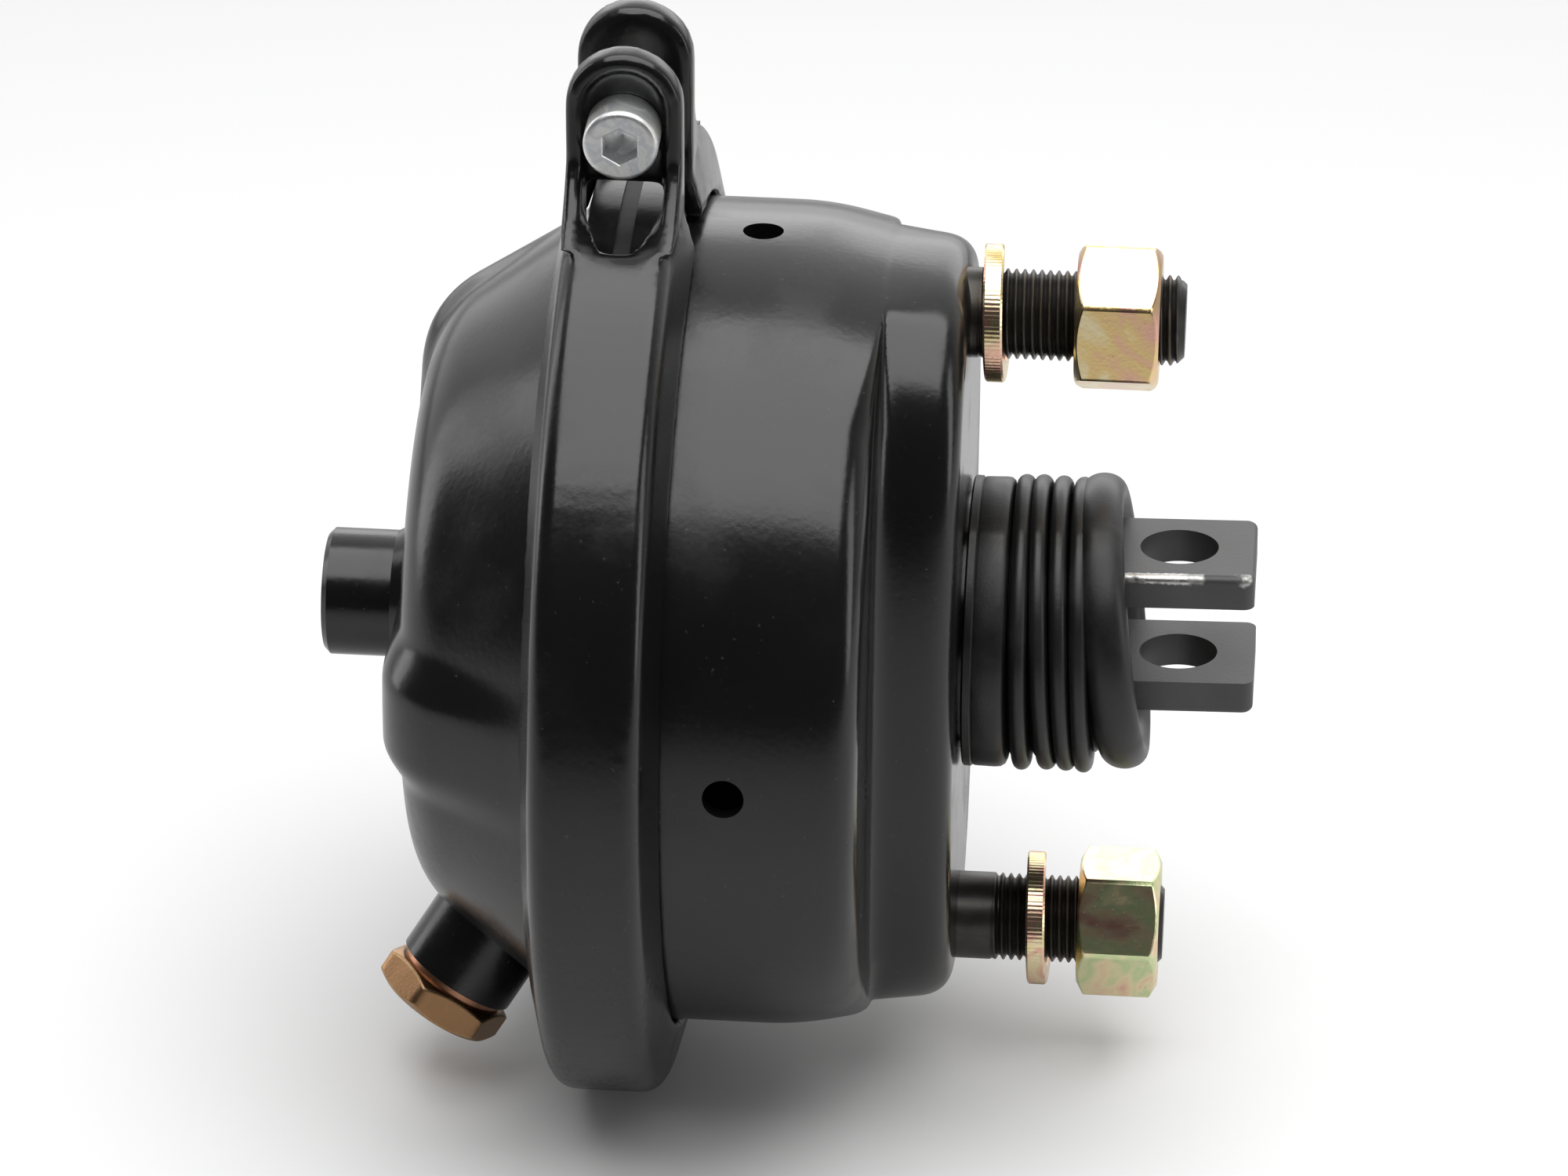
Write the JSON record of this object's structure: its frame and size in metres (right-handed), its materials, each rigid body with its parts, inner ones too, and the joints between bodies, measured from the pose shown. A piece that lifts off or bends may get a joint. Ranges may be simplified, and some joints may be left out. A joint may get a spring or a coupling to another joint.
{
  "type": "brake chamber",
  "caption": "Diaphragm air brake chamber with a clamped two-part housing, mounting studs, rubber boot and a sprung push rod ending in a fork.",
  "frame": {"origin": "centre of the mounting face, on the chamber's axis midway between the two studs", "axes": "+X along the push rod's travel towards the fork, +Z along the line of the two studs towards the clamp screw, +Y to the left of the fork's view"},
  "size_m": [0.1677, 0.1754, 0.2032],
  "materials": {
    "black_paint": "gloss",
    "yellow_zinc": "satin",
    "bright_zinc": "satin",
    "stud_steel": "phosphated",
    "copper": "satin",
    "rubber": "matt",
    "grey_paint": "satin",
    "spring_steel": "satin"
  },
  "bodies": {
    "chamber": {"service_housing": "black_paint", "pressure_housing": "black_paint", "inlet_port_boss": "black_paint", "side_port_boss": "black_paint", "plug_seal": "copper", "port_plug": "yellow_zinc", "clamp_band": "black_paint", "clamp_screw": "bright_zinc", "clamp_nut": "bright_zinc", "diaphragm": "rubber", "return_spring": "spring_steel", "boot_ring": "black_paint", "boot": "rubber", "stud_upper": "stud_steel", "stud_lower": "stud_steel"},
    "rod": {"push_plate": "spring_steel", "push_rod": "spring_steel", "rod_lock_nut": "yellow_zinc", "fork": "grey_paint"},
    "nut_upper": {"stud_nut_upper": "yellow_zinc"},
    "nut_lower": {"stud_nut_lower": "yellow_zinc"},
    "washer_upper": {"lock_washer_upper": "yellow_zinc"},
    "washer_lower": {"lock_washer_lower": "yellow_zinc"}
  },
  "joints": [
    {"name": "rod_slide", "type": "slide", "parent": "chamber", "child": "rod", "axis": [1, 0, 0], "range_m": [0, 0.057], "stiffness_N_per_m": 2500, "springref_m": -0.04, "deforming": ["boot", "return_spring", "diaphragm"]},
    {"name": "nut_upper_spin", "type": "hinge", "parent": "chamber", "child": "nut_upper", "pos_m": [0.0183, 0, 0.06032], "axis": [1, 0, 0], "continuous": true},
    {"name": "nut_lower_spin", "type": "hinge", "parent": "chamber", "child": "nut_lower", "pos_m": [0.022, 0, -0.06032], "axis": [1, 0, 0], "continuous": true},
    {"name": "washer_upper_slide", "type": "slide", "parent": "chamber", "child": "washer_upper", "axis": [1, 0, 0], "range_m": [-0.001, 0.0112]},
    {"name": "washer_lower_slide", "type": "slide", "parent": "chamber", "child": "washer_lower", "axis": [1, 0, 0], "range_m": [-0.0115, 0.0044]}
  ]
}
